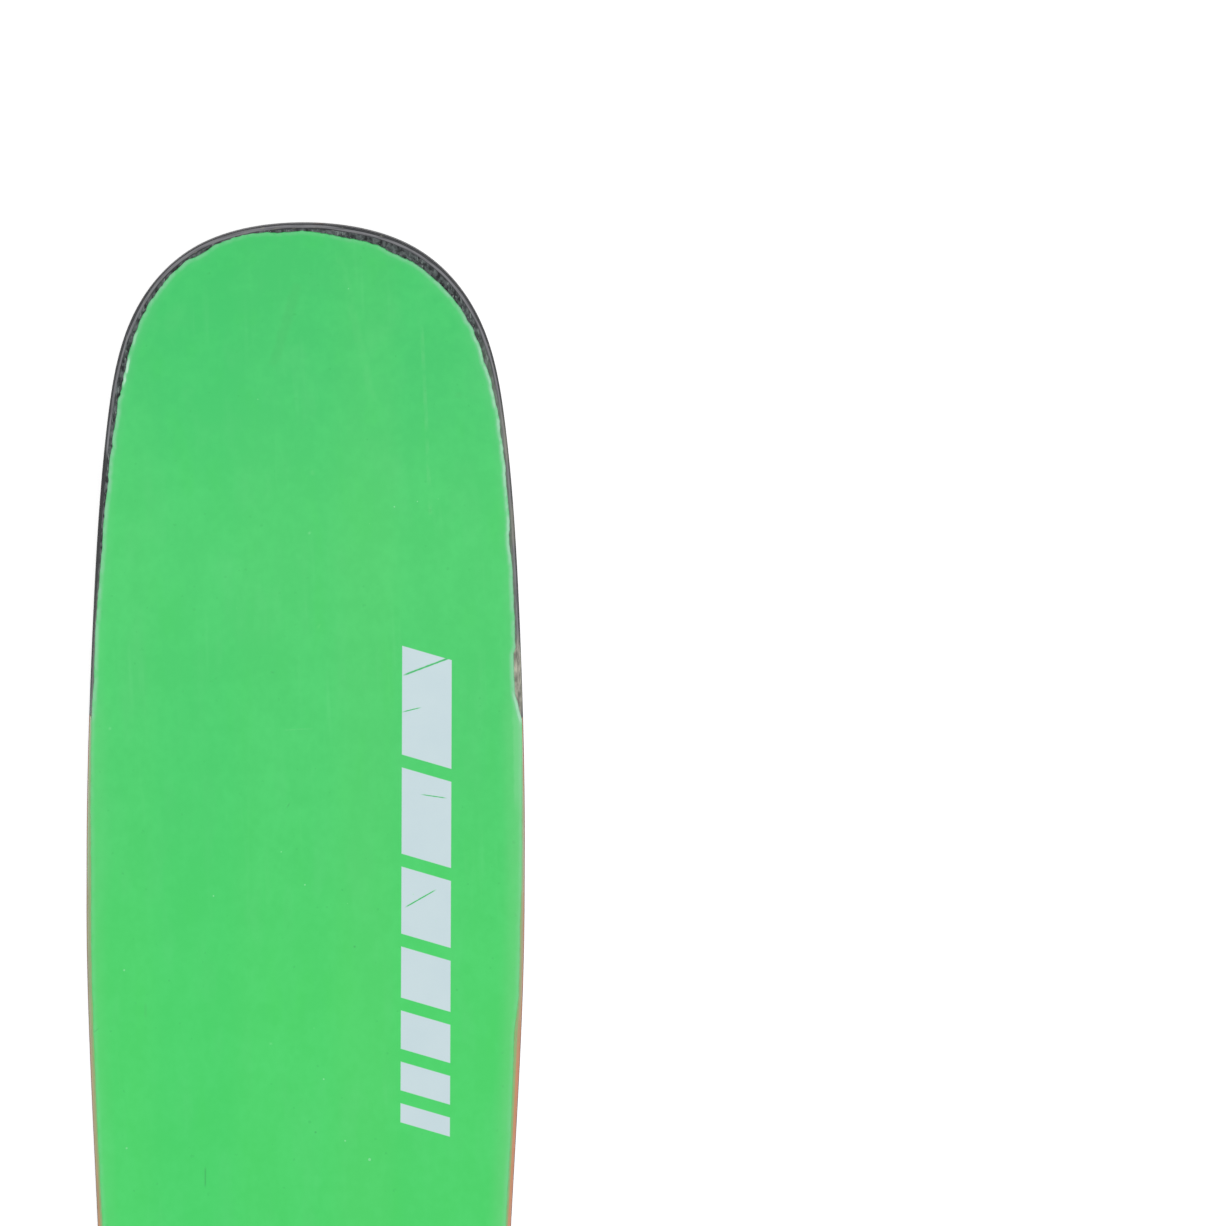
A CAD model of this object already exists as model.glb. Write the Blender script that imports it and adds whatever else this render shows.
"""Looks of a wide twin-tip snow ski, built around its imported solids.

Shapes are worked out in millimetres on a flat blank, and become metres when that is
pressed into the ski's curve."""

import math

import bmesh
import bpy
import numpy as np
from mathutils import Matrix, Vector
from mathutils.geometry import delaunay_2d_cdt


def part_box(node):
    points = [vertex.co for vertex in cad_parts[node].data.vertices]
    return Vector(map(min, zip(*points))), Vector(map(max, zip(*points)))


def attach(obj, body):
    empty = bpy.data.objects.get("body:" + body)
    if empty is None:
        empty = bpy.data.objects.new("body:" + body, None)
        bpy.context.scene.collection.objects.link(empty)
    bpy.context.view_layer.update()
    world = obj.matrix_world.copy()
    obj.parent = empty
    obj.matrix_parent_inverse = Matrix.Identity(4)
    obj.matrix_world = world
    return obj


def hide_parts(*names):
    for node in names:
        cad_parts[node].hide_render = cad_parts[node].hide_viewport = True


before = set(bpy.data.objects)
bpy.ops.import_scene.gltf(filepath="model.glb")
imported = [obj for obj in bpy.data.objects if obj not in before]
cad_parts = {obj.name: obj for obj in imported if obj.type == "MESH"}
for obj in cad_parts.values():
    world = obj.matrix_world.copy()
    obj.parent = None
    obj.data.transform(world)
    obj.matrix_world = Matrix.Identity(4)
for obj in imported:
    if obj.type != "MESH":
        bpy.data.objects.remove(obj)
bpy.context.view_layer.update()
chips = np.random.default_rng(11)

MM = 0.001
ACROSS, ALONG = 0, 1  # the axes of the ski and of its blank


def extent(node, axis):
    """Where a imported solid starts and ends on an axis, to a tenth of a millimetre."""
    return [round(corner[axis] / MM, 1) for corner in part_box(node)]


# ---------- side view

half_length = extent("edge_right", ALONG)[1]
camber_height = 4
rocker_radius, tip_radius, tail_radius = 1500, 280, 260
rocker_turn, tip_turn, tail_turn = math.radians(7), math.radians(36), math.radians(31)
overrun = math.radians(5)  # how far each side-view line goes on past the tip and the tail
rocker_reach = rocker_radius * math.sin(rocker_turn)
tip_reach = tip_radius * (math.sin(tip_turn) - math.sin(rocker_turn))
tail_reach = tail_radius * (math.sin(tail_turn) - math.sin(rocker_turn))
front_contact = half_length - tip_reach - rocker_reach
rear_contact = tail_reach + rocker_reach - half_length
camber_middle = (front_contact + rear_contact) / 2
camber_reach = (front_contact - rear_contact) / 2
camber_turn = 2 * math.atan(camber_height / camber_reach)
camber_radius = camber_reach / math.sin(camber_turn) - rocker_radius

end_thickness, platform_thickness = 5.0, 15.5
taper_rear = ((-700, 6.8), (-600, 9.6), (-470, 12.9))  # y and thickness
taper_front = ((330, 13.4), (480, 10.6), (600, 8.2))
plate_rear, plate_front = extent("binding_plate", ALONG)
plate_margin = 15  # by which the flat platform goes on past the binding plate
base_top, edge_top, foil_top = 1.4, 1.9, 2.2  # heights above the running surface
topsheet_depth, core_depth = 0.5, 1.1  # below the top face: the topsheet's underside and the core

arc_points, span_points = 400, 300


def arc(centre, radius, start, end):
    """Side-view points on an arc, at angles from straight down, positive towards the tip."""
    turn = np.linspace(start, end, arc_points)
    return np.column_stack([centre[0] + radius * np.sin(turn), centre[1] - radius * np.cos(turn)])


def spline(points, leaving, arriving):
    """Cubic through the points, paced by their spacing, with a heading given at each end."""
    knots = np.array(points, float)
    span = np.linalg.norm(np.diff(knots, axis=0), axis=1)
    system, right = np.eye(len(knots)), np.zeros((len(knots), 2))
    right[0], right[-1] = (np.array(h, float) / np.linalg.norm(h) for h in (leaving, arriving))
    for i in range(1, len(knots) - 1):
        before, after = span[i - 1], span[i]
        step_in, step_out = knots[i] - knots[i - 1], knots[i + 1] - knots[i]
        system[i, i - 1 : i + 2] = after, 2 * (before + after), before
        right[i] = 3 * (after * step_in / before + before * step_out / after)
    slope = np.linalg.solve(system, right)
    t = np.linspace(0, 1, span_points, endpoint=False)[:, None]
    spans = [
        (1 + 2 * t) * (1 - t) ** 2 * knots[i]
        + t * (1 - t) ** 2 * span[i] * slope[i]
        + t**2 * (3 - 2 * t) * knots[i + 1]
        - t**2 * (1 - t) * span[i] * slope[i + 1]
        for i in range(len(span))
    ]
    return np.vstack([*spans, knots[-1:]])


def rocker_centre(contact):
    return np.array([contact, rocker_radius])


def bend_centre(contact, way, radius):
    """Centre of the tip's or tail's curve, which takes over where the rocker ends."""
    towards = np.array([way * math.sin(rocker_turn), -math.cos(rocker_turn)])
    return rocker_centre(contact) + (rocker_radius - radius) * towards


tip_centre = bend_centre(front_contact, 1, tip_radius)
tail_centre = bend_centre(rear_contact, -1, tail_radius)
camber_centre = camber_middle, camber_height - camber_radius


def running_line(height):
    """Side-view line this far above the running surface."""
    return np.vstack([
        arc(tail_centre, tail_radius - height, -tail_turn - overrun, -rocker_turn),
        arc(rocker_centre(rear_contact), rocker_radius - height, -rocker_turn, camber_turn),
        arc(camber_centre, -camber_radius - height, camber_turn, -camber_turn),
        arc(rocker_centre(front_contact), rocker_radius - height, -camber_turn, rocker_turn),
        arc(tip_centre, tip_radius - height, rocker_turn, tip_turn + overrun),
    ])


def above_running(height):
    """Height above the ground, at any y, of a surface this far above the running surface."""
    line = running_line(height)
    return lambda y: np.interp(y, line[:, 0], line[:, 1])


running = above_running(0)


def below_top(depth):
    """Height above the ground, at any y, of a surface this far below the top face."""
    end_height = end_thickness - depth
    tail = arc(tail_centre, tail_radius - end_height, -tail_turn - overrun, -rocker_turn)
    tip = arc(tip_centre, tip_radius - end_height, rocker_turn, tip_turn + overrun)
    deck = camber_height + platform_thickness - depth
    rear = [(y, running(y) + thickness - depth) for y, thickness in taper_rear]
    front = [(y, running(y) + thickness - depth) for y, thickness in taper_front]
    tilt = math.cos(rocker_turn), math.sin(rocker_turn)
    line = np.vstack([
        tail,
        spline([tail[-1], *rear, (plate_rear - plate_margin, deck)], (tilt[0], -tilt[1]), (1, 0)),
        spline([(plate_front + plate_margin, deck), *front, tip[0]], (1, 0), tilt),
        tip,
    ])
    return lambda y: np.interp(y, line[:, 0], line[:, 1])


# ---------- plan view

tip_half, waist_half, tail_half = extent("edge_right", ACROSS)[1], 50.5, 63.5
widest_front, waist, widest_rear = 697, -60, -720
widest_flat = 8  # half the parallel stretch at each widest place
sidecut_front, sidecut_rear = (64.95, 593, 0.05), (61.7, -625, 0.039)  # half width, y and slope
# Share of the half width, and distance from the very end
tip_nose = ((0.972, 122), (0.902, 60.5), (0.745, 24), (0.486, 7.1))
tail_nose = ((0.975, 112), (0.905, 55), (0.745, 21), (0.48, 6))
wall_lean = math.tan(math.radians(20))
lean_blend = 50  # it grows over this far on each side of the widest places
pressing_rounds = 14  # in which a leaning place settles
station_spacing = ((-640, 0.7), (-560, 4), (480, 4), (560, 0.4))  # y, and distance between stations
shortest_step = 1e-6
distance_blocks = 60


def lean_at(y):
    """How far the walls lean back at a place on the blank: none along the sides, fully at tip and tail."""
    at_tip = np.interp(y, (widest_front - lean_blend, widest_front + lean_blend), (0, 1))
    at_tail = np.interp(y, (widest_rear - lean_blend, widest_rear + lean_blend), (1, 0))
    return wall_lean * (at_tip - at_tail)


def pressed(plan, surface):
    """Places on the flat blank, carried up to a surface of the curved ski, in metres."""
    lean, z = lean_at(plan[:, 1]), 0
    for _ in range(pressing_rounds):
        z = surface(plan[:, 1] - lean * z)
    return np.column_stack([plan[:, 0], plan[:, 1] - lean * z, z]) * MM


def on_blank(y):
    """Where a place y on the running surface lies on the blank."""
    return y + lean_at(y) * running(y)


def end_curve(way, half_width, widest, nose, sidecut_end):
    """Right-hand outline from the end of the sidecut, over the widest place, to the middle of an end."""
    x, y, slope = sidecut_end
    nose_points = [(half_width, widest + way * widest_flat)]
    for share, distance in (*nose, (0, 0)):
        place = way * (half_length - distance)
        nose_points.append((share * half_width, place + way * running(place) * wall_lean))
    swell = spline([(x, y), (half_width, widest - way * widest_flat)], (slope, way), (0, way))
    return np.vstack([swell, spline(nose_points, (0, way), (-1, 0))])


tail_side = end_curve(-1, tail_half, widest_rear, tail_nose, sidecut_rear)
tip_side = end_curve(1, tip_half, widest_front, tip_nose, sidecut_front)
waist_points = sidecut_rear[:2], (waist_half, waist), sidecut_front[:2]
waist_side = spline(waist_points, (-sidecut_rear[2], 1), (sidecut_front[2], 1))
outline = np.vstack([tail_side[:0:-1], waist_side[:-1], tip_side])


class Run:
    """A walk along the outline, anticlockwise: places on the blank, the way in from each, and how far
    each lies round the outline from the middle of the tip, positive on the right-hand side."""

    def __init__(self, plan, inward, along):
        self.plan, self.inward, self.along = plan, inward, along

    def part(self, start, stop):
        return Run(self.plan[start:stop], self.inward[start:stop], self.along[start:stop])

    def between(self, low, high):
        """The stretch of a one-sided run whose y on the blank lies in this range."""
        inside = np.flatnonzero((self.plan[:, 1] >= low) & (self.plan[:, 1] <= high))
        return self.part(inside[0], inside[-1] + 1)

    def mirrored(self):
        flip = np.array([-1, 1])
        return Run(self.plan[::-1] * flip, self.inward[::-1] * flip, -self.along[::-1])

    def then(self, other):
        """This run and one that goes on from its last place."""
        pairs = (self.plan, other.plan), (self.inward, other.inward), (self.along, other.along)
        return Run(*(np.concatenate([first, second[1:]]) for first, second in pairs))

    def inset(self, depth):
        return self.plan + self.inward * np.reshape(depth, (-1, 1))


def right_hand_run():
    """Right-hand outline from tail to tip, with stations close together where the ends curve."""
    step = np.linalg.norm(np.diff(outline, axis=0), axis=1)
    line = outline[np.concatenate([[True], step > shortest_step])]
    step = np.linalg.norm(np.diff(line, axis=0), axis=1)
    spacing = np.interp(line[1:, 1], *np.transpose(station_spacing))
    count, walked = (np.concatenate([[0], np.cumsum(a)]) for a in (step / spacing, step))
    stations = np.linspace(0, count[-1], int(count[-1]))

    def at_stations(values):
        return np.column_stack([np.interp(stations, count, column) for column in values.T])

    plan = at_stations(line)
    heading = at_stations(np.gradient(line, axis=0) / np.gradient(walked)[:, None])
    heading[0], heading[-1] = (1, 0), (-1, 0)
    inward = np.column_stack([-heading[:, 1], heading[:, 0]])
    along = walked[-1] - np.interp(stations, count, walked)
    return Run(plan, inward / np.linalg.norm(inward, axis=1)[:, None], along)


right_side = right_hand_run()
left_side = right_side.mirrored()
whole_rim = right_side.then(left_side).part(0, -1)


def to_nearest(places, targets):
    """Distance from each place to its nearest target, worked out in blocks to spare memory."""
    blocks = np.array_split(places, distance_blocks)
    return np.concatenate([
        np.linalg.norm(block[:, None] - targets, axis=2).min(axis=1) for block in blocks
    ])


def inside_depth(places):
    """How far in from the outline these places on the blank lie."""
    return to_nearest(places, np.vstack([right_side.plan, left_side.plan]))


# ---------- border wear

bevel_foot, bevel_depth = 0.3, 2.1  # the bevel's inset where it starts, and its depth below the top there
bevel_margin = 0.2  # by which the bevel reaches in past the film's border
film_slope = 0.25  # how much further in the film's upper corner lies than its lower one
thinnest_border = 0.3
border_gain = 1.2  # it is cut back further than it looks, as pale splinters narrow the gap

# Distance along the rim from the tip's middle, and how far in the film is worn there, from above
left_wear = (
    (-700, 1.6), (-375, 1.6), (-345, 1.45), (-268, 1.45), (-250, 1.35), (-210, 0.9),
    (-195, 1.2), (-178, 1.05), (-155, 1.65), (-120, 2.1), (-78, 2.85), (-22, 2.65),
)
right_wear = (
    (0, 3.2), (12, 4.45), (40, 4.6), (94, 2.0), (106, 1.65), (120, 1.45), (183, 1.55), (185, 2.2), (198, 2.1),
    (207, 0.45), (225, 0.8), (262, 1.0), (275, 1.3), (298, 1.2), (309, 1.95), (345, 1.5), (700, 1.6),
)
# A bite's middle along the rim, its reach to each side, and its depth
bites = ((-91, 6, 0.15), (-35, 4, 0.45), (-6, 5, 0.4), (31, 4, 0.5), (84, 5, 0.35), (148, 4, 0.35))
# Distance from the ski's middle, and how strongly the border is nibbled there
nibbling = ((700, 0.25), (800, 0.4), (868, 1))


def rough(along, spacing):
    """Seeded roughness between -1 and 1 along the rim, with bumps about this far apart."""
    knots = np.arange(along.min() - spacing, along.max() + 2 * spacing, spacing)
    return np.interp(along, knots, chips.uniform(-1, 1, len(knots)))


def wall_setback(run):
    """How far an upturned end's leaning wall carries the top in from the outline, seen from above."""
    rise = (pressed(run.plan, below_top(0)) - pressed(run.plan, running))[:, :2] / MM
    return np.maximum(0, (rise * run.inward).sum(axis=1))


def worn_border(run):
    """How far in from the outline the film's lower corner starts: worn back, with bites broken out."""
    seen = np.interp(run.along, *np.transpose((*left_wear, *right_wear)))
    for middle, reach, depth in bites:
        seen = seen + depth * np.sqrt(np.maximum(0, 1 - ((run.along - middle) / reach) ** 2))
    return np.maximum(thinnest_border, (seen - wall_setback(run)) * border_gain - film_slope)


rim_border = worn_border(whole_rim)
rim_bevel = np.minimum(bevel_depth, rim_border + bevel_margin)
fine, medium, coarse = (rough(whole_rim.along, spacing) for spacing in (1.1, 3.2, 5))
nibbles = 0.15 * fine + 0.22 * medium + 0.45 * np.maximum(0, coarse - 0.55)
strength = np.interp(np.abs(whole_rim.plan[:, 1]), *np.transpose(nibbling))
rim_break = np.maximum(thinnest_border, rim_border + strength * nibbles)


def bevel_at(depth, run):
    """Inset of the bevelled top corner, this far below the top."""
    inset = np.interp(run.along, whole_rim.along[::-1], rim_bevel[::-1])
    return bevel_foot + (inset - bevel_foot) * (1 - depth / bevel_depth)


# ---------- meshes

sharp_angle = math.radians(38)
blank_half_width, blank_half_length = 72, 930  # over which spots are spread
inside_borders, same_corner = 1, 1e-6  # what triangles fill, and how near two corners are one


class Solid:
    """Closed mesh, with the numbers that its finish reads. A moulded one knows its places on the blank."""

    def __init__(self, places, faces, numbers, plan=None):
        self.places, self.faces, self.numbers, self.plan = places, faces, numbers, plan


def swept(run, profile):
    """Closed bar along a run. Each corner of the profile is a depth in from the outline and a surface."""
    corners, stations = len(profile), len(run.plan)
    depths = [np.broadcast_to(depth, stations) for depth, _ in profile]
    loops = [pressed(run.inset(depth), surface) for depth, (_, surface) in zip(depths, profile)]
    places = np.stack(loops, axis=1).reshape(-1, 3)
    faces = []
    for i in range(stations - 1):
        for k in range(corners):
            here, there = i * corners + k, i * corners + (k + 1) % corners
            faces.append((here, here + corners, there + corners, there))
    faces.append(tuple(range(corners)))
    faces.append(tuple(range((stations - 1) * corners, stations * corners)))
    numbers = {"from_edge": np.stack(depths, axis=1).ravel(), "along": np.repeat(run.along, corners)}
    return Solid(places, faces, numbers)


def filled(loops, spots):
    """Triangles over the blank between the first loop and the others, with corners on them and at spots."""
    edges, first = [], 0
    for loop in loops:
        edges += [(first + i, first + (i + 1) % len(loop)) for i in range(len(loop))]
        first += len(loop)
    places = [Vector(place) for place in np.vstack([*loops, spots])]
    _, _, faces, given, _, _ = delaunay_2d_cdt(places, edges, [], inside_borders, same_corner)
    bounds = np.cumsum([0] + [len(loop) for loop in loops])
    triangles = []
    for face in faces:
        corners = tuple(given[c][0] for c in face)
        loop_of = {int(np.searchsorted(bounds, c, side="right")) for c in corners}
        in_hole = len(loop_of) == 1 and 2 <= min(loop_of) <= len(loops)
        if not in_hole:
            triangles.append(corners)
    return triangles


def moulded(levels, above, below, holes=()):
    """Closed slab. Its levels, from the bottom up, are border loops on the blank and the surfaces that
    they lie on. above and below are spots on the blank, spread over its top and over its bottom."""
    places, faces, plans, starts, count = [], [], [], [], 0
    for loop, surface in levels:
        starts.append(count)
        for ring in (loop, *holes):
            places.append(pressed(ring, surface))
            plans.append(ring)
            count += len(ring)
    for lower, upper in zip(starts, starts[1:]):
        offset = 0
        for ring in (levels[0][0], *holes):
            n = len(ring)
            for i in range(n):
                here, there = offset + i, offset + (i + 1) % n
                faces.append((lower + here, lower + there, upper + there, upper + here))
            offset += n
    border = starts[1]
    sheets = (levels[0], below, starts[0], -1), (levels[-1], above, starts[-1], 1)
    for (loop, surface), spots, start, way in sheets:
        for corners in filled([loop, *holes], spots):
            faces.append(tuple(start + c if c < border else count + c - border for c in corners[::way]))
        places.append(pressed(spots, surface))
        plans.append(spots)
        count += len(spots)
    return Solid(np.vstack(places), faces, {}, np.vstack(plans))


def into_scene(name, data):
    """New object with this data."""
    made = bpy.data.objects.new(name, data)
    bpy.context.scene.collection.objects.link(made)
    return made


def make(name, finish, slot, stands_for, *solids):
    """One piece of closed solids, riding on the ski, with the numbers that its finish reads."""
    faces, first = [], 0
    for solid in solids:
        faces += [tuple(first + c for c in face) for face in solid.faces]
        first += len(solid.places)
    mesh = bpy.data.meshes.new(name)
    mesh.from_pydata(np.vstack([solid.places for solid in solids]).tolist(), [], faces)
    for key in solids[0].numbers:
        values = np.concatenate([solid.numbers[key] for solid in solids])
        attribute = mesh.attributes.new(key, "FLOAT", "POINT")
        attribute.data.foreach_set("value", values.astype(np.float32))
    shaped = bmesh.new()
    shaped.from_mesh(mesh)
    bmesh.ops.recalc_face_normals(shaped, faces=shaped.faces)
    shaped.to_mesh(mesh)
    shaped.free()
    mesh.shade_smooth()
    mesh.set_sharp_from_angle(angle=sharp_angle)
    mesh.materials.append(finish.material)
    piece = into_scene(name, mesh)
    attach(piece, "root")
    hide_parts(stands_for)


def scattered(spacing, margin):
    """Spots this far apart all over the blank, more than the margin in from the outline."""
    columns = np.arange(-blank_half_width, blank_half_width + 1, spacing)
    rows = np.arange(-blank_half_length, blank_half_length + 1, spacing)
    x, y = np.meshgrid(columns, rows)
    x = x + (np.arange(len(x)) % 2)[:, None] * spacing / 2
    spots = np.column_stack([x.ravel(), y.ravel()])
    half_width = np.interp(spots[:, 1], right_side.plan[:, 1], right_side.plan[:, 0])
    spots = spots[np.abs(spots[:, 0]) < half_width]
    return spots[inside_depth(spots) > margin]


# ---------- finishes


def paint(red, green, blue):
    """A colour as a painter's chart gives it, each part from 0 to 255, in the linear light of shaders."""
    linear = [(c / 255 / 12.92) if c < 11 else ((c / 255 + 0.055) / 1.055) ** 2.4 for c in (red, green, blue)]
    return (*linear, 1)


class Wire:
    """A number on its way through the nodes: arithmetic on it adds Math nodes."""

    def __init__(self, nodes, socket):
        self.nodes, self.socket = nodes, socket

    def maths(self, operation, *terms):
        return self.nodes.node("ShaderNodeMath", {"operation": operation}, dict(enumerate(terms)))

    def __add__(self, other):
        return self.maths("ADD", self, other)

    def __sub__(self, other):
        return self.maths("SUBTRACT", self, other)

    def __rsub__(self, other):
        return self.maths("SUBTRACT", other, self)

    def __mul__(self, other):
        return self.maths("MULTIPLY", self, other)

    def __truediv__(self, other):
        return self.maths("DIVIDE", self, other)

    def __abs__(self):
        return self.maths("ABSOLUTE", self)

    __radd__ = __add__
    __rmul__ = __mul__

    def least(self, other):
        return self.maths("MINIMUM", self, other)

    def most(self, other):
        return self.maths("MAXIMUM", self, other)

    def rise(self, low, high):
        """0 below low, 1 above high, smooth between; the other way round where high is the lower."""
        limits = {"Value": self, "From Min": low, "From Max": high}
        return self.nodes.node("ShaderNodeMapRange", {"interpolation_type": "SMOOTHSTEP"}, limits)


class Nodes:
    """The nodes of one material, or of the studio's surroundings."""

    def __init__(self, tree):
        self.tree = tree

    def node(self, kind, settings=(), sockets=(), output=0):
        """Any node: its settings first, then values or wires for its sockets. Gives one output's wire."""
        made = self.tree.nodes.new(kind)
        for name, value in dict(settings).items():
            setattr(made, name, value)
        for name, value in dict(sockets).items():
            self.feed(made.inputs[name], value)
        return Wire(self, made.outputs[output])

    def feed(self, socket, value):
        if isinstance(value, Wire):
            self.tree.links.new(value.socket, socket)
        else:
            socket.default_value = value

    def seen_directly(self):
        """1 for what the camera sees straight, mirrored or through glass, 0 for light on its way."""
        rays = (f"Is {ray} Ray" for ray in ("Camera", "Glossy", "Transmission"))
        camera, mirrored, through = (self.node("ShaderNodeLightPath", output=ray) for ray in rays)
        return camera.most(mirrored).most(through)


class Finish(Nodes):
    """One material, built round a Principled shader. Its colour is laid on coat by coat."""

    def __init__(self, name, **constants):
        self.material = bpy.data.materials.new(name)
        self.material.use_nodes = True
        super().__init__(self.material.node_tree)
        self.shader = self.tree.nodes["Principled BSDF"]
        for socket, value in constants.items():
            self.shader.inputs[socket.replace("_", " ")].default_value = value
        self.here = self.node("ShaderNodeTexCoord", output="Object")
        self.x, self.y, self.z = (self.coordinate(self.here, axis) for axis in "XYZ")
        self.colour = None

    def coordinate(self, place, axis):
        """One coordinate of a place, in millimetres."""
        return self.node("ShaderNodeSeparateXYZ", sockets={0: place}, output=axis) / MM

    def number(self, name):
        """A number held by the mesh, such as how far a place is from the outline."""
        return self.node("ShaderNodeAttribute", {"attribute_name": name}, output="Fac")

    def path(self, *numbers):
        """A place with these coordinates, for patterns that follow them and not the ski's axes."""
        sockets = {k: number * MM for k, number in enumerate(numbers)}
        return self.node("ShaderNodeCombineXYZ", sockets=sockets)

    def mix(self, colour, other, share):
        return self.node("ShaderNodeMix", {"data_type": "RGBA"}, {0: share, 6: colour, 7: other}, output=2)

    def coat(self, colour, share):
        """Lay a colour over the finish so far, by this share."""
        self.colour = self.mix(self.colour, colour, share)

    def looks(self, **wires):
        """Feed the shader its colour, and what else varies over the surface, by the shader's socket."""
        for socket, value in {"Base_Color": self.colour, **wires}.items():
            self.feed(self.shader.inputs[socket.replace("_", " ")], value)

    def spread(self, size, turn, start, place=None):
        """Coordinates for a pattern whose features have about this size in millimetres."""
        sockets = {"Vector": place or self.here, "Rotation": (0, 0, turn), "Scale": [s * MM for s in size]}
        sockets["Location"] = start, start * 0.7, start * 0.3
        return self.node("ShaderNodeMapping", {"vector_type": "TEXTURE"}, sockets)

    def mottle(self, size, detail, turn=0, start=0, place=None):
        """Soft random patches between 0 and 1."""
        sockets = {"Vector": self.spread(size, turn, start, place), "Scale": 1.0, "Detail": detail}
        return self.node("ShaderNodeTexNoise", sockets=sockets)

    def scratches(self, length, width, share, turn=0, start=0):
        """Fine straight marks of about this length and width, over this share of the surface."""
        apart = 6
        lines = abs(self.mottle((apart, length, length), 0, turn, start) - 0.5)
        patches = self.mottle((9, 30, 30), 1, turn, start + 5)
        return lines.rise(width / (2 * apart), 0) * patches.rise(1 - share, 1.05 - share)

    def specks(self, spacing, size, share, start=0):
        """Scattered dots of about this size, at this share of the places they could be."""
        cells = {"Vector": self.spread((spacing,) * 3, 0, start), "Scale": 1.0}
        near = self.node("ShaderNodeTexVoronoi", sockets=cells, output="Distance")
        colour = self.node("ShaderNodeTexVoronoi", sockets=cells, output="Color")
        chance = self.node("ShaderNodeSeparateColor", sockets={0: colour}, output="Red")
        dots = near.rise(0.5 * size / spacing, 0.3 * size / spacing)
        return dots * chance.rise(1 - share, 1 - share + 0.02)

    def cuts(self, *marks):
        """Straight marks: middle x and y, turn in degrees from straight across, length and width."""
        worn, every = self.mottle((1.5, 1.5, 1.5), 2), None
        for x, y, angle, length, width in marks:
            sockets = {"Vector": self.here, "Location": (x * MM, y * MM, 0)}
            sockets["Rotation"] = 0, 0, math.radians(angle)
            own = self.node("ShaderNodeMapping", {"vector_type": "TEXTURE"}, sockets)
            lengthwise, across = (abs(self.coordinate(own, axis)) for axis in "XY")
            mark = (across + 0.4 * width * worn).rise(width, width * 0.4)
            mark = mark * lengthwise.rise(length / 2, length / 2 - 2)
            every = mark if every is None else every.most(mark)
        return every

    def relief(self, height, depth):
        """Surface that stands up by a depth in millimetres where the height is 1."""
        sockets = {"Strength": 1.0, "Distance": depth * MM, "Height": height}
        return self.node("ShaderNodeBump", sockets=sockets, output="Normal")


# The printed ladder
bar_left, bar_right, bar_top, bar_slant = 30, 45.5, 769, math.tan(math.radians(16))
bar_lengths, bar_gap = (34, 27, 21, 16, 12, 9, 6), 4

# The film's larger marks, as cuts takes them
print_cracks = (
    (37.8, 762.6, 21, 17, 0.55), (33, 749, 14, 7, 0.35), (40, 722, -8, 9, 0.3), (36, 690, 30, 12, 0.4),
)
scrapes = (
    (37.4, 839, 92.7, 60, 1.1), (2, 822.7, 10, 3, 1.4), (4, 775, 60, 3, 0.7), (-2.5, 742.7, 3, 11, 0.4),
)
faint_scrape = (15.8, 867, 103, 47, 2.6)
dents = (
    (1, 804, 40, 2, 0.7), (-61.2, 742.7, 20, 1.8, 0.8),
    (-10.6, 644.4, 0, 1.8, 0.7), (-66.4, 649, 80, 2.5, 0.8),
)
gouges = (
    (-10.5, 760.5, -8, 2.2, 0.6), (-5.4, 719, 60, 3, 0.4),
    (-30.9, 602.6, 90, 7.5, 0.45), (-65.2, 648.3, 40, 3.2, 0.4),
)
smudges = (
    (-6, 869, 73, 27, 3), (-9.9, 857.2, 60, 4.5, 2.4), (47.5, 847, -20, 3.6, 1.8), (-49.8, 654.6, 90, 6, 0.8),
)


def dye_film(film):
    """The film's own green, with cloudy patches, lengthwise bands, flecks and haze."""
    film.colour = film.mix(paint(65, 205, 98), paint(64, 199, 101), film.y.rise(640, 760))
    film.coat(paint(65, 197, 106), film.y.rise(800, 860))
    clouds = film.mottle((40, 60, 40), 3).rise(0.3, 0.7)
    clouds = clouds - film.mottle((9, 12, 9), 3, start=4).rise(0.35, 0.65)
    grain = film.mottle((2.6, 3.2, 2.6), 3, start=5).rise(0.25, 0.75)
    film.coat(paint(84, 220, 120), (clouds * 0.12 + grain * 0.15).most(0))
    bands = film.mottle((9, 40, 9), 4, start=6)
    film.coat(paint(100, 203, 128), bands.rise(0.5, 0.75) * 0.12)
    film.coat(paint(56, 206, 78), bands.rise(0.46, 0.25) * 0.14)
    film.coat(paint(30, 198, 98), 0.11 * film.x.rise(-52, -42) * film.x.rise(-16, -26))
    film.coat(paint(108, 205, 106), 0.07 * film.x.rise(4, 16) * film.x.rise(32, 24))
    flecks = film.specks(3.6, 1.0, 0.3, 3).most(film.specks(5.3, 1.5, 0.2, 8))
    flecks = flecks * film.mottle((0.9, 0.9, 0.9), 2, start=7).rise(0.4, 0.6)
    film.coat(paint(54, 184, 90), flecks * 0.4)
    haze = film.mottle((2.2, 34, 34), 4, 0.05, 2).rise(0.52, 0.78)
    haze = haze * film.mottle((22, 40, 22), 1, start=3).rise(0.45, 0.7)
    film.coat(paint(112, 216, 138), haze * 0.12)


def fade_film(film):
    """Paler green along the sides, where the film thins at the bevel, more so on the right-hand one."""
    from_edge = film.number("from_edge")
    sides = film.y.rise(760, 742) * film.y.rise(-770, -755)
    right = film.x.rise(0, 40)
    uneven = from_edge + 1.2 * film.mottle((2, 3, 2), 2, start=12)
    bruised = right * film.y.rise(716, 723) * uneven.rise(4.2, 3.4)
    film.coat(paint(112, 213, 138), bruised * sides * 0.4)
    faded = from_edge.rise(8.5, 1) * (0.12 + 0.14 * right) + 0.2 * from_edge.rise(2.1, 0.8)
    film.coat(paint(140, 203, 148), faded * sides * (0.7 + 0.6 * film.mottle((3, 14, 14), 2, start=9)))


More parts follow.
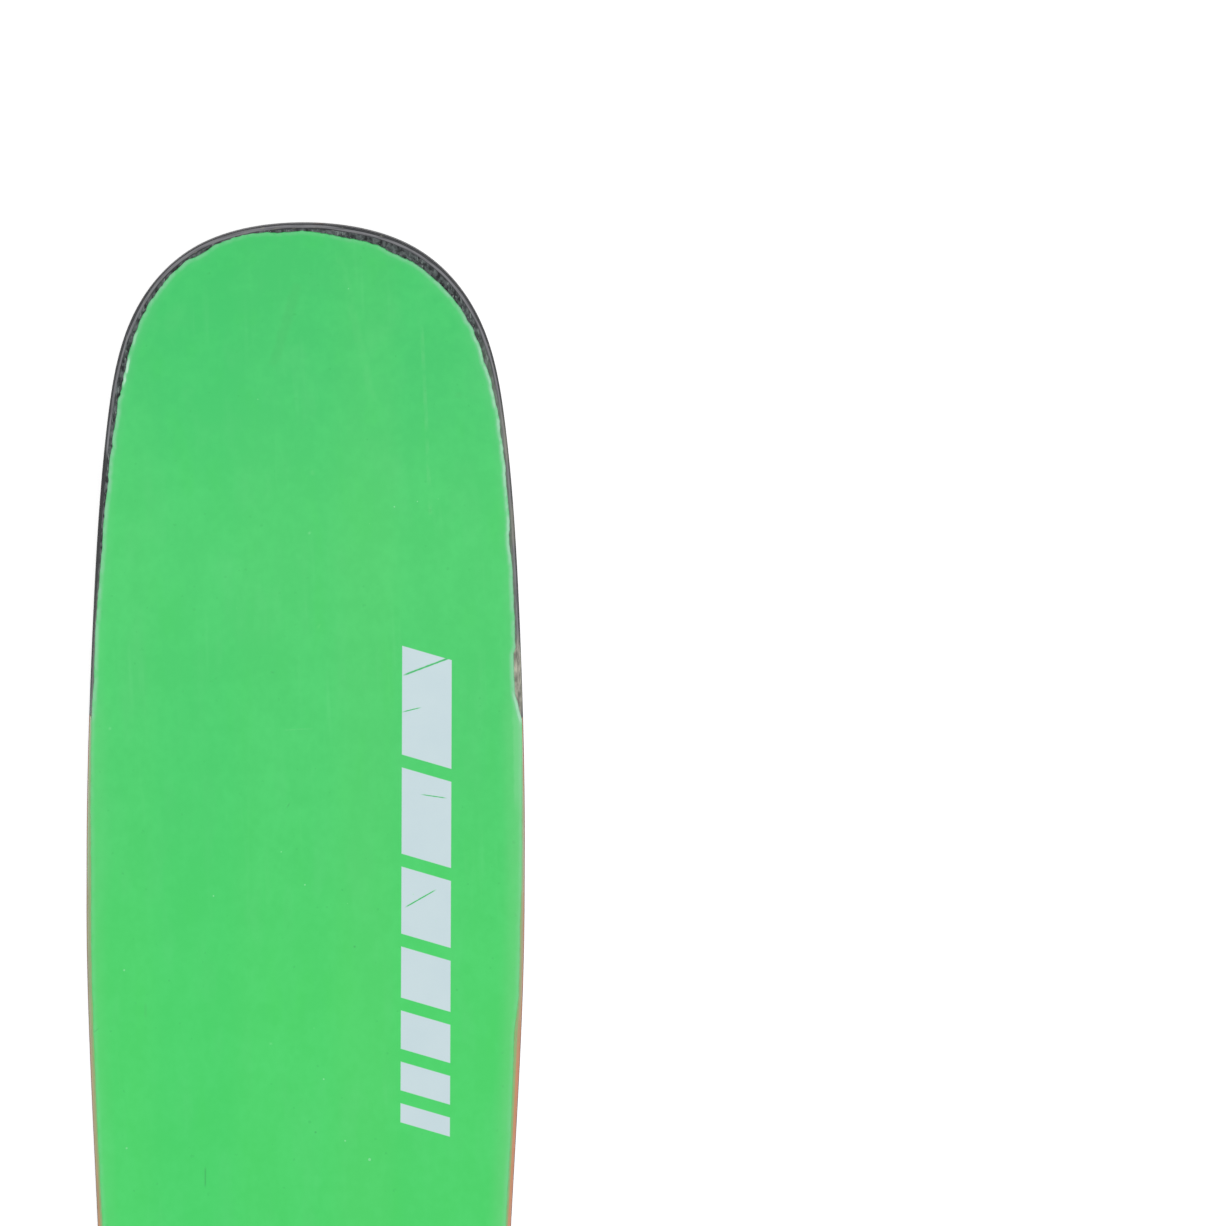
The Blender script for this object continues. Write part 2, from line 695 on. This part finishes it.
def depth_in_bars(film):
    """How far inside a bar of the ladder a place lies: slanted bars that shorten away from the tip."""
    across = 0.5 * (bar_right - bar_left) - abs(film.x - 0.5 * (bar_left + bar_right))
    slanted = film.y + (film.x - bar_left) * bar_slant
    deepest, top = None, bar_top
    for length in bar_lengths:
        inside = across.least(0.5 * length - abs(slanted - (top - 0.5 * length)))
        deepest = inside if deepest is None else deepest.most(inside)
        top -= length + bar_gap
    return deepest


def print_film(film):
    """The ladder in pale ink, cracked through to the green."""
    printed = depth_in_bars(film).rise(-0.12, 0.16)
    cracks = film.cuts(*print_cracks)
    ink = film.mix(paint(193, 212, 218), paint(201, 218, 222), film.mottle((12, 12, 12), 2, start=4))
    film.coat(paint(58, 168, 104), cracks * printed * 0.6)
    film.coat(ink, printed * (1 - cracks))


def mark_film(film):
    """Scratches, scrapes, specks, smudges and nicks. Gives what is scratched, and the nicks."""
    scraped = (film.cuts(*scrapes) * 0.55).most(film.cuts(faint_scrape) * 0.22)
    scraped = scraped * film.mottle((3, 9, 3), 2, start=13).rise(0.25, 0.65)
    scratched = film.scratches(45, 0.12, 0.24, -0.5, 3).most(film.scratches(25, 0.12, 0.2, 0.9, 7))
    scratched = scratched.most(scraped)
    film.coat(paint(150, 222, 160), scratched * 0.2)
    pale_specks = film.specks(7, 0.7, 0.2).most(film.specks(19, 1.1, 0.3, 2)).most(film.cuts(*dents))
    film.coat(paint(150, 228, 172), pale_specks * 0.5)
    film.coat(paint(70, 176, 96), film.cuts(*smudges) * 0.2)
    nicks = film.specks(12, 0.8, 0.12, 4).most(film.specks(31, 1.3, 0.2, 6)).most(film.cuts(*gouges))
    film.coat(paint(52, 160, 84), nicks * 0.55)
    return scratched, nicks


def tear_film(film):
    """Pale fringe and paler lips where the film's border is broken off. Gives the fringe."""
    from_break = film.number("from_break")
    torn = film.y.rise(742, 748) * film.y.rise(905, 875)
    left_torn = film.y.rise(850, 842).most(film.y.rise(868, 878))
    most_torn = film.x.rise(0, 40).most(0.8 * film.x.rise(0, -40) * left_torn)
    frayed = 0.2 + torn * (0.18 + 0.3 * most_torn) + 0.2 * film.y.rise(-750, -760)
    ragged = film.mottle((2.2, 3.5, 3.5), 3, start=1).rise(0.3, 0.6)
    fringe = from_break.rise(1.6, 0) * (0.4 + 0.6 * ragged) * frayed
    fringe = fringe + 0.055 * torn * from_break.rise(4, 0.8)
    film.coat(paint(150, 204, 172), fringe)
    left_lip = film.y.rise(848, 851) * film.y.rise(859, 856)
    left_lip = left_lip.most(0.4 * film.y.rise(861, 863) * film.y.rise(867, 865))
    right_lip = 0.4 * film.y.rise(790, 802) * film.y.rise(870, 862)
    right_lip = right_lip.most(0.55 * film.y.rise(743, 746) * film.y.rise(756, 751))
    lips = (left_lip * film.x.rise(-40, -50)).most(right_lip * film.x.rise(40, 50))
    film.coat(paint(184, 230, 202), lips * from_break.rise(0.8, 0.35) * (0.3 + 0.6 * ragged))
    return fringe


def green_topsheet():
    """Glossy green plastic film with its print, faded, scratched and torn by use."""
    film = Finish("green_topsheet", Specular_IOR_Level=0.3)
    dye_film(film)
    fade_film(film)
    print_film(film)
    scratched, nicks = mark_film(film)
    fringe = tear_film(film)
    film.coat(paint(150, 205, 160), film.number("from_hole").rise(3.4, 2.2) * 0.6)
    peel = film.mottle((1.6, 1.6, 1.6), 1) * 0.12
    film.looks(
        Roughness=0.36 + 0.14 * film.mottle((30, 60, 30), 3, start=5) + 0.2 * scratched + 0.15 * fringe,
        Normal=film.relief(peel - (scratched * 0.6 + nicks), 0.03),
    )
    return film


def tip_plastic():
    """Dark moulded end spacer, scuffed pale along its bevel, and chipped at the right-hand sidewall."""
    plastic = Finish("dark_end_plastic", Specular_IOR_Level=0.12)
    from_edge, along = plastic.number("from_edge"), plastic.number("along")
    path = plastic.path(along, from_edge)
    streaks = plastic.mottle((9, 0.35, 1), 3, place=path)
    unworn = along.rise(-195, -170) * along.rise(-116, -121)
    plastic.colour = plastic.mix(paint(24, 26, 28), paint(60, 63, 65), streaks - 0.9 * unworn)
    further_in = from_edge + 0.25 * along.rise(15, 5) - 0.45 * along.rise(-45, -70)
    bevelled = further_in.rise(0.3, 0.5) * further_in.rise(1.15, 0.85) * (1 - 0.9 * unworn)
    scuff = bevelled * (0.45 + 0.55 * streaks.rise(0.3, 0.6)) + 0.1 * streaks
    plastic.coat(paint(134, 134, 138), scuff)
    plastic.coat(paint(124, 136, 132), 0.6 * along.rise(-213, -208) * along.rise(-194, -203))
    chalk = plastic.mottle((2.5, 0.6, 1), 3, place=path, start=4).rise(0.6, 0.72) * (1 - unworn)
    earth = along.rise(96, 112) * along.rise(152, 146)
    earth = earth * plastic.mottle((16, 3, 1), 2, place=path, start=2).rise(0.3, 0.55)
    plastic.coat(paint(158, 158, 142), (0.4 * chalk).most(0.5 * earth))
    splinters = plastic.mottle((4, 0.9, 1), 3, place=path, start=6).rise(0.3, 0.7)
    chipped = plastic.mix(paint(104, 106, 98), paint(200, 198, 180), splinters)
    plastic.coat(chipped, along.rise(177, 184) * along.rise(206, 202) * 0.85)
    plastic.looks(Roughness=0.5 + 0.25 * scuff, Normal=plastic.relief(streaks + chalk * 0.4, 0.12))
    return plastic


def orange_sidewall():
    """Orange plastic sidewall, rubbed khaki where it is bevelled, and dirty in patches."""
    wall = Finish("orange_sidewall")
    from_edge, along = wall.number("from_edge"), wall.number("along")
    path = wall.path(along, from_edge, wall.z)
    rubbed = wall.mottle((30, 0.7, 0.9), 3, place=path)
    wall.colour = wall.mix(paint(214, 112, 70), paint(224, 128, 84), rubbed)
    pale = wall.mottle((14, 0.4, 0.35), 3, place=path, start=3).rise(0.5, 0.68)
    bevel = from_edge.rise(0.2, 0.38)
    less_rubbed = 0.32 * along.rise(295, 325) + 0.25 * along.rise(-345, -370)
    rub = 0.48 + 0.5 * rubbed + 0.3 * abs(along).rise(330, 280) - less_rubbed
    khaki = wall.mix(paint(152, 166, 126), paint(166, 158, 120), wall.x.rise(-20, 20))
    khaki = wall.mix(khaki, paint(150, 184, 140), abs(along).rise(268, 256))
    wall.coat(khaki, bevel * rub + pale * 0.16)
    dirt = wall.mottle((11, 3, 2), 4, place=path, start=6).rise(0.52, 0.8)
    wall.coat(paint(112, 92, 80), dirt * 0.3)
    wall.looks(Roughness=0.5 + 0.2 * pale, Normal=wall.relief(pale + rubbed * 0.5, 0.02))
    return wall


def glass_laminate():
    """Resin-rich glass cloth: dark over the end spacers, yellowish green over the orange sidewalls."""
    cloth = Finish("upper_glass_laminate", Specular_IOR_Level=0.25)
    crumbs = cloth.mottle((1.5, 2.2, 1.5), 4)
    dark = cloth.mix(paint(20, 24, 26), paint(98, 106, 106), crumbs.rise(0.32, 0.75))
    splinters = cloth.mottle((0.5, 5, 0.5), 3, start=3).rise(0.58, 0.7)
    dark = cloth.mix(dark, paint(170, 184, 178), splinters * 0.45)
    dusty = cloth.x.rise(0, 40) * cloth.y.rise(872, 845)
    dusty = dusty.most(cloth.x.rise(0, -40) * cloth.y.rise(800, 775))
    dark = cloth.mix(dark, paint(118, 134, 118), 0.6 * dusty)
    bared = cloth.x.rise(0, 40) * cloth.y.rise(745, 749) * cloth.y.rise(772, 766)
    flakes = cloth.mottle((2.2, 4, 2.2), 3, start=5).rise(0.3, 0.72)
    dark = cloth.mix(dark, cloth.mix(paint(108, 110, 100), paint(190, 188, 170), flakes), bared)
    cloth.colour = cloth.mix(paint(158, 166, 116), paint(142, 188, 124), crumbs)
    cloth.coat(dark, cloth.y.rise(741, 749).most(cloth.y.rise(-755, -763)))
    cloth.looks(Roughness=0.7 - 0.2 * crumbs, Normal=cloth.relief(crumbs + 0.3 * splinters, 0.15))
    return cloth


def edge_steel():
    """Hardened steel rail: bright underneath, dull and dark on its worn outer face, a little rusty."""
    steel = Finish("edge_steel", Metallic=0.85)
    from_edge = steel.number("from_edge")
    path = steel.path(steel.number("along"), from_edge, steel.z)
    filed = steel.mottle((22, 0.12, 0.12), 3, place=path)
    bright = steel.mix(paint(150, 151, 154), paint(196, 197, 200), filed)
    dull = steel.mix(paint(26, 26, 29), paint(52, 52, 56), filed)
    rust = steel.mottle((5, 1.5, 1.5), 4, place=path, start=2).rise(0.64, 0.78)
    steel.colour = steel.mix(bright, dull, from_edge.rise(0.5, 0.1))
    steel.coat(paint(118, 78, 52), rust * 0.5)
    steel.looks(Roughness=0.34 + 0.12 * filed + 0.3 * rust, Normal=steel.relief(filed, 0.012))
    return steel


def foil_rubber():
    rubber = Finish("foil_rubber", Roughness=0.8)
    rubber.colour = rubber.mix(paint(30, 30, 31), paint(58, 56, 54), rubber.mottle((2, 4, 1), 3))
    rubber.looks()
    return rubber


def running_base():
    """Black sintered base: stone-ground lengthwise, grey and dry beside the edges, lightly scratched."""
    base = Finish("black_running_base")
    grind = base.mottle((0.7, 90, 5), 2)
    fine_grind = base.mottle((0.35, 40, 5), 1, start=3)
    dry = base.number("from_edge").rise(16, 2) * base.mottle((14, 40, 5), 3, start=1).rise(0.35, 0.65)
    base.colour = base.mix(paint(27, 27, 29), paint(42, 42, 45), grind)
    base.coat(paint(92, 92, 96), dry * 0.45)
    cuts = base.scratches(90, 0.22, 0.34, 0.03).most(base.scratches(50, 0.16, 0.3, 0.3, 4))
    cuts = cuts.most(base.scratches(40, 0.14, 0.25, -0.4, 8))
    base.coat(paint(104, 104, 108), cuts * 0.55)
    relief = base.relief(grind + 0.6 * fine_grind - 1.2 * cuts, 0.05)
    base.looks(Roughness=0.36 + 0.2 * dry + 0.08 * grind, Normal=relief)
    return base


def core_wood():
    wood = Finish("core_wood", Roughness=0.62)
    rings = wood.mottle((2.2, 160, 6), 3)
    fibres = wood.mottle((0.4, 22, 0.8), 2, start=2)
    wood.colour = wood.mix(paint(226, 196, 150), paint(196, 158, 108), rings.rise(0.35, 0.7))
    wood.coat(paint(168, 128, 82), fibres.rise(0.55, 0.8) * 0.5)
    wood.looks(Normal=wood.relief(fibres, 0.08))
    return wood


def carbon_rod():
    rod = Finish("pultruded_carbon", Roughness=0.35)
    tows = rod.mottle((0.35, 60, 0.35), 2)
    rod.colour = rod.mix(paint(20, 20, 22), paint(58, 58, 62), tows)
    rod.looks(Normal=rod.relief(tows, 0.03))
    return rod


def plate_alloy():
    alloy = Finish("plate_alloy", Metallic=1.0)
    rolled = alloy.mottle((0.5, 70, 1), 3)
    alloy.colour = alloy.mix(paint(172, 174, 178), paint(204, 206, 209), rolled)
    alloy.looks(Roughness=0.3 + 0.15 * rolled)
    return alloy


def lower_glass():
    cloth = Finish("lower_glass_laminate", Roughness=0.55)
    weave = cloth.mottle((0.8, 9, 1), 2).most(cloth.mottle((9, 0.8, 1), 2, start=2))
    cloth.colour = cloth.mix(paint(150, 158, 140), paint(206, 212, 196), weave)
    cloth.looks(Normal=cloth.relief(weave, 0.08))
    return cloth


# ---------- edges, foils and sidewalls

edge_width = tip_half - extent("base_sheet", ACROSS)[1]
rail_corner, rail_foot, rail_shoulder = 0.25, 0.3, 1.65  # how far its corners are cut, and the cuts' heights
flange_start, flange_reach = edge_width - 0.1, 6.5  # the teeth run a little into the rail
tooth_pitch, tooth_gap, tooth_gaps = 50, 14, 32
foil_start, foil_width = 0.35, 8
wall_foot, wall_width = 0.15, 6
wall_rear, wall_front = extent("sidewall_right", ALONG)
far = 1000  # past both ends of the blank


def on_base(*corners):
    """Profile from depths in from the outline and heights above the running surface."""
    return [(depth, above_running(height)) for depth, height in corners]


def box_section(start, stop, bottom, top):
    return on_base((start, bottom), (stop, bottom), (stop, top), (start, top))


def toothed_edge(run):
    """Rail along one side, and the flange of teeth that is bonded in above the base."""
    foot = (edge_width, 0), (rail_corner, 0), (0, rail_foot)
    head = (0, rail_shoulder), (rail_corner, edge_top), (edge_width, edge_top)
    flange = box_section(flange_start, flange_reach, base_top, edge_top)
    gap_starts = [(i - (tooth_gaps - 1) / 2) * tooth_pitch - tooth_gap / 2 for i in range(tooth_gaps)]
    tooth_starts = [-far, *(start + tooth_gap for start in gap_starts)]
    teeth = [swept(run.between(low, high), flange) for low, high in zip(tooth_starts, [*gap_starts, far])]
    return [swept(run, on_base(*foot, *head)), *teeth]


def foil_strip(run):
    """Thin strip between the edge and the sidewall."""
    return swept(run, box_section(foil_width, foil_start, edge_top, foil_top))


def outer_face(run):
    """Profile of a sidewall's or end spacer's outer face, from its foot up over the bevel."""
    return [
        (wall_foot, above_running(foil_top)),
        (bevel_foot, below_top(bevel_depth)),
        (bevel_at(core_depth, run), below_top(core_depth)),
    ]


def wall_bar(run):
    """Sidewall of one side, from spacer to spacer."""
    walled = run.between(on_blank(wall_rear), on_blank(wall_front))
    lower, upper = (wall_width, above_running(foil_top)), (wall_width, below_top(core_depth))
    return swept(walled, [lower, *outer_face(walled), upper])


# ---------- end spacers

core_rear, core_front = extent("core_stringer_4", ALONG)
core_clearance = 4


def end_run(way, cut):
    """The outline from one side's joint with the sidewall, round the tip or tail, to the other's."""
    joint = on_blank(cut)
    if way > 0:
        return right_side.between(joint, far).then(left_side.between(joint, far))
    return left_side.between(-far, joint).then(right_side.between(-far, joint))


def end_block(way, wall_cut, core_cut):
    """Spacer that fills the tip or tail, with an arm reaching back on each side of the core's end."""
    rim = end_run(way, wall_cut)
    core_end = way * on_blank(core_cut)
    arms = rim.inset(wall_width)[way * rim.plan[:, 1] < core_end][::-1]
    levels = [(np.vstack([rim.inset(depth), arms]), surface) for depth, surface in outer_face(rim)]
    spots = scattered(spacing=12, margin=9)
    spots = spots[way * spots[:, 1] > core_end + core_clearance]
    block = moulded(levels, above=spots, below=spots)
    block.numbers["from_edge"] = inside_depth(block.plan)
    block.numbers["along"] = np.zeros(len(block.plan))
    for k in range(len(levels)):
        start = k * (len(rim.plan) + len(arms))
        block.numbers["along"][start : start + len(rim.plan)] = rim.along
    return block


# ---------- base, laminate, topsheet

toe_screws, heel_screws = (118, 40, 45), (-258, 36, 60)  # middle y, spacing across and spacing along
screw_radius, circle_corners = 2.05, 28
screw_clearance, ring_radii = 6, (2.7, 3.6, 5)  # nearer to a screw, the film has rings of spots
film_shoulder, film_round = 0.12, 0.1  # inset and depth, halfway round the film's upper corner
border_rings = ((0.4, 1), (1.0, 2), (2.2, 4), (4.5, 8), (8.0, 14))  # depth in, stations to a spot

screw_places = np.array([
    (side * across / 2, middle + end * lengthwise / 2)
    for middle, across, lengthwise in (toe_screws, heel_screws)
    for side in (-1, 1)
    for end in (-1, 1)
])
angles = np.linspace(0, 2 * math.pi, circle_corners, endpoint=False)
circle = np.column_stack([np.cos(angles), np.sin(angles)])
screw_holes = [place + screw_radius * circle for place in screw_places]


def clear_of_screws(spots):
    return spots[to_nearest(spots, screw_places) > screw_clearance]


close_spots = clear_of_screws(scattered(spacing=7, margin=13))
wide_spots = clear_of_screws(scattered(spacing=14, margin=14))


def base_slab():
    """Running base, between the steel edges."""
    levels = [(whole_rim.inset(edge_width), above_running(height)) for height in (0, base_top)]
    slab = moulded(levels, above=wide_spots, below=wide_spots)
    slab.numbers["from_edge"] = inside_depth(slab.plan)
    return slab


def cloth_slab():
    """Upper laminate, which shows where the film above it is broken off."""
    levels = [
        (whole_rim.inset(bevel_at(depth, whole_rim)), below_top(depth))
        for depth in (core_depth, topsheet_depth)
    ]
    return moulded(levels, above=wide_spots, below=wide_spots, holes=screw_holes)


def film_slab():
    """Topsheet film with its broken border, and spots close together there and round the screws."""
    upper_corner = rim_break + film_slope
    levels = [
        (whole_rim.inset(rim_break), below_top(topsheet_depth)),
        (whole_rim.inset(rim_break + film_shoulder), below_top(film_round)),
        (whole_rim.inset(upper_corner), below_top(0)),
    ]
    rings = [whole_rim.inset(upper_corner + offset)[::every] for offset, every in border_rings]
    rings += [place + radius * circle[::2] for place in screw_places for radius in ring_radii]
    slab = moulded(levels, above=np.vstack([*rings, close_spots]), below=wide_spots, holes=screw_holes)
    slab.numbers["from_edge"] = inside_depth(slab.plan)
    slab.numbers["from_break"] = to_nearest(slab.plan, whole_rim.inset(upper_corner))
    slab.numbers["from_hole"] = to_nearest(slab.plan, screw_places)
    return slab


# ---------- pieces

steel, rubber, side_plastic, end_plastic = edge_steel(), foil_rubber(), orange_sidewall(), tip_plastic()
for side, run in (("right", right_side), ("left", left_side)):
    make(f"steel_edge_{side}", steel, "edge_steel", f"edge_{side}", *toothed_edge(run))
    make(f"rubber_foil_{side}", rubber, "foil_rubber", f"edge_foil_{side}", foil_strip(run))
    make(f"orange_sidewall_{side}", side_plastic, "sidewall", f"sidewall_{side}", wall_bar(run))
for end, way, wall_cut, core_cut in (("tip", 1, wall_front, core_front), ("tail", -1, wall_rear, core_rear)):
    block = end_block(way, wall_cut, core_cut)
    make(f"{end}_spacer_shell", end_plastic, "tip_plastic", f"{end}_spacer", block)
make("running_base_sheet", running_base(), "running_base", "base_sheet", base_slab())
make("upper_laminate_sheet", glass_laminate(), "dark_laminate", "upper_laminate", cloth_slab())
make("green_topsheet_film", green_topsheet(), "topsheet", "topsheet", film_slab())

inside = {
    "core_stringer": core_wood(),
    "carbon_rod": carbon_rod(),
    "binding_plate": plate_alloy(),
    "lower_laminate": lower_glass(),
}
for name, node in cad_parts.items():
    for prefix, finish in inside.items():
        if name.startswith(prefix):
            node.material_slots[0].material = finish.material

# ---------- stage

floor_reach = 3
sky_strength = 0.7
lamps = (("key_lamp", 0.85, 28, 30), ("fill_lamp", 0.3, 34, -130))  # strength, tilt, bearing
lamp_spread = math.radians(25)
camera_place, camera_turn, camera_lens = (0.09575, 0.7795, 5.0), 0.0045, 468.9

floor_mesh = bpy.data.meshes.new("floor")
floor_corners = [(x * floor_reach, y * floor_reach, 0) for x, y in ((-1, -1), (1, -1), (1, 1), (-1, 1))]
floor_mesh.from_pydata(floor_corners, [], [(0, 1, 2, 3)])
floor = into_scene("floor", floor_mesh)

# The floor glows where seen, to look white, and is clear from below, to show the base
pale = Finish("pale_floor", Roughness=0.9, Specular_IOR_Level=0.0, Emission_Strength=1.0)
pale.colour = paint(225, 225, 225)
pale.looks(Emission_Color=pale.mix(paint(0, 0, 0), paint(203, 203, 203), pale.seen_directly()))
solid_floor = Wire(pale, pale.shader.outputs[0])
clear_floor = pale.node("ShaderNodeBsdfTransparent", output="BSDF")
from_below = pale.node("ShaderNodeNewGeometry", output="Backfacing")
shown = pale.node("ShaderNodeMixShader", sockets={0: from_below, 1: solid_floor, 2: clear_floor})
pale.feed(pale.tree.nodes["Material Output"].inputs["Surface"], shown)
floor_mesh.materials.append(pale.material)

world = bpy.data.worlds.new("studio")
world.use_nodes = True
bpy.context.scene.world = world
sky = Nodes(world.node_tree)
white = world.node_tree.nodes["Background"]
white.inputs["Color"].default_value = (1, 1, 1, 1)
sky.feed(white.inputs["Strength"], sky.seen_directly().most(sky_strength))

for name, strength, tilt, bearing in lamps:
    lamp = bpy.data.lights.new(name, "SUN")
    lamp.energy = strength
    lamp.angle = lamp_spread
    into_scene(name, lamp).rotation_euler = (math.radians(tilt), 0, math.radians(bearing))

# The camera looks straight down on the front of the ski
camera_data = bpy.data.cameras.new("camera")
camera_data.sensor_width, camera_data.lens = 36, camera_lens
camera_data.clip_end = 200
camera = into_scene("camera", camera_data)
camera.location = camera_place
camera.rotation_euler = (0, 0, camera_turn)
bpy.context.scene.camera = camera

bpy.context.scene.view_settings.view_transform = "Standard"
